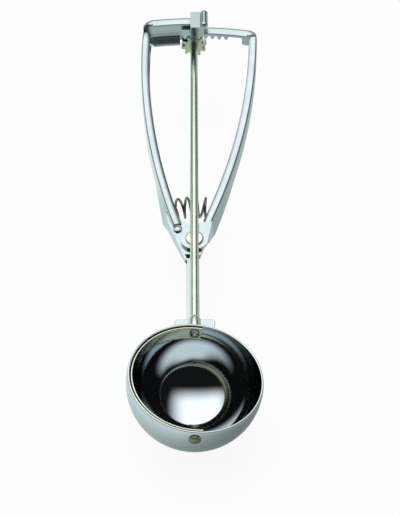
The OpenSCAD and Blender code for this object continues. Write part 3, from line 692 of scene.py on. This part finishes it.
def make_front_pin():
    """The pin at the bowl's front, riveted inside and with a domed head outside, and that head's washer."""
    shank, head, seat, tip = 1.1, 1.9, -25.4, -26.3
    inside = -BLADE_IN
    turned_piece("front_pin_turned", "front_pin", PIN_METAL, [
        (0, inside + 0.91), (1.3, inside + 0.91), (1.5, inside + 0.75), (1.5, inside + 0.11),
        (shank, inside + 0.11), (shank, seat), (head, seat), (head - 0.05, tip + 0.6),
        (1.6, tip + 0.35), (1.1, tip + 0.12), (0.5, tip + 0.01), (0, tip)], tilt=True)
    turned_piece("front_washer_turned", "front_washer", PIN_METAL, [
        (shank, seat), (2.1, seat), (2.2, seat + 0.07), (2.2, seat + 0.5), (shank, seat + 0.42),
        (shank, seat)], tilt=True)


def make_rivet():
    """The pivot's rivet, with its wide flat head on top and its small riveted end below."""
    low, high, head_t, shank, head, end = -8.1, -4.4, 0.9, 2.0, 3.7, 2.75
    upright_piece("pivot_rivet_headed", "pivot_rivet", RIVET_STEEL, 0, 0, [
        (0, low - head_t), (2.0, low - 0.88), (2.5, low - 0.75), (2.7, low - 0.5), (end, low - 0.2),
        (end, low), (shank, low), (shank, high), (head, high), (head, high + 0.2), (3.65, high + 0.5),
        (3.4, high + 0.8), (2.9, high + head_t), (0, high + head_t)], 64)


make_bowl()
make_blade()
make_spring()
make_arms()
make_web_toe()
make_fixed_cross_arm()
make_lever_cross_arm()
make_lip()
make_lug()
sheet_copy("shank_formed", "shank", STEEL_ALONG, 0.35)
sheet_copy("saddle_formed", "saddle", STEEL_ALONG, 0.25)
sheet_copy("rack_guide_pressed", "rack_guide", STEEL_ALONG, 0.3)
sheet_copy("pinion_cut", "pinion", GEAR_PLATE, 0.12, segments=2, angle=50)
make_rod()
make_ferrule()
make_washers()
make_front_pin()
make_rivet()


# ---- the studio ----

def make_floor(low):
    """A pale matt floor, near white to the camera.

    Polished metal sees its glow darker under the bowl as painted shadow, brighter to the left as painted
    light, and with a faint green cast painted into the reflection.
    """
    bm = bmesh.new()
    bmesh.ops.create_grid(bm, x_segments=1, y_segments=1, size=4.0)
    bmesh.ops.translate(bm, vec=(0, 0, low), verts=bm.verts)
    mesh = bpy.data.meshes.new("floor")
    bm.to_mesh(mesh)
    bm.free()
    floor = bpy.data.objects.new("floor", mesh)
    bpy.context.scene.collection.objects.link(floor)
    finish = Finish(bpy.data.materials.new("pale_floor"))
    matt = finish.tree.nodes["Principled BSDF"]
    matt.inputs["Base Color"].default_value = rgb(0.93, 0.94, 0.94)
    matt.inputs["Roughness"].default_value = 0.9
    matt.inputs["Specular IOR Level"].default_value = 0.0
    path = finish.node("ShaderNodeLightPath")
    mirrored = Link(finish, path.outputs["Is Glossy Ray"]) + Link(finish, path.outputs["Is Transmission Ray"])
    camera = Link(finish, path.outputs["Is Camera Ray"])
    # How much of the even white the camera and polished metal see, over the floor's own light and shadow
    seen = camera * 0.93 + mirrored * 0.8
    place = finish.node("ShaderNodeSeparateXYZ", {}, {
        0: finish.node("ShaderNodeTexCoord").outputs["Object"]})
    x, y = (Link(finish, place.outputs[i]) for i in range(2))
    right = x - 0.012
    away = (right * right + y * y).power(0.5)
    # Painted shadow: the glow that polished metal sees is dimmed round the bowl, in place of the shade
    # beneath it
    painted_shadow_under_bowl = 0.35 + away.step(0.02, 0.075) * 0.55
    # Painted light: the glow that polished metal sees is brighter to the left and dimmer to the right
    painted_light_to_left = 1.35 - x.step(-0.03, 0.04) * 0.65
    # Painted reflection colour: only polished metal sees the floor's glow faintly green
    painted_reflection_tint = finish.blend(mirrored, rgb(1, 1, 1), rgb(0.86, 1.0, 0.97))
    white = finish.node("ShaderNodeEmission", {}, {
        "Color": painted_reflection_tint, "Strength": camera + mirrored * painted_shadow_under_bowl * painted_light_to_left})
    mix = finish.node("ShaderNodeMixShader", {}, {
        0: seen, 1: matt.outputs[0], 2: white.outputs[0]})
    finish.tree.links.new(mix.outputs[0], finish.tree.nodes["Material Output"].inputs["Surface"])
    mesh.materials.append(finish.owner)


def make_world():
    """A wide soft box overhead, towards the back and left, a bright horizon and dark between them."""
    world = bpy.data.worlds.new("studio")
    bpy.context.scene.world = world
    finish = Finish(world)
    place = finish.node("ShaderNodeTexCoord")
    parts = finish.node("ShaderNodeSeparateXYZ", {}, {0: place.outputs["Generated"]})
    x, y, z = (Link(finish, parts.outputs[i]) for i in range(3))
    height = z.at_least(0.03)
    across, away = x / height, y / height
    near_and_far = away.step(-0.62, 0.05) * away.step(2.2, 0.9)
    box = near_and_far * across.step(-1.9, -0.5) * across.step(1.15, 0.15) * z.step(0.05, 0.25)
    horizon = z.step(0.42, 0.05)
    light = box * 2.1 + horizon * 0.9 + 0.012
    background = finish.tree.nodes["Background"]
    background.inputs["Color"].default_value = rgb(0.97, 0.99, 1.0)
    finish.tree.links.new(light.socket, background.inputs["Strength"])


def make_camera():
    """The lens of the photograph, from a focal length and a picture height that are both in its pixels."""
    focal_pixels, picture_pixels, sensor = 1346.57, 516, 36.0
    right = Vector((1, -0.0046, -0.0043))
    up = Vector((0.0063, 0.7319, 0.6814))
    back = Vector((0, -0.6814, 0.7319))
    lens = bpy.data.cameras.new("camera")
    lens.sensor_width = sensor
    lens.lens = sensor * focal_pixels / picture_pixels
    lens.clip_start = 0.01
    camera = bpy.data.objects.new("camera", lens)
    bpy.context.scene.collection.objects.link(camera)
    turn = Matrix((right, up, back)).transposed().to_4x4()
    camera.matrix_world = Matrix.Translation((0.0021922, -0.2995048, 0.3879246)) @ turn
    bpy.context.scene.camera = camera


make_floor(-BOWL_R * MM - 0.0001)
make_world()
make_camera()
bpy.context.scene.view_settings.view_transform = "Standard"
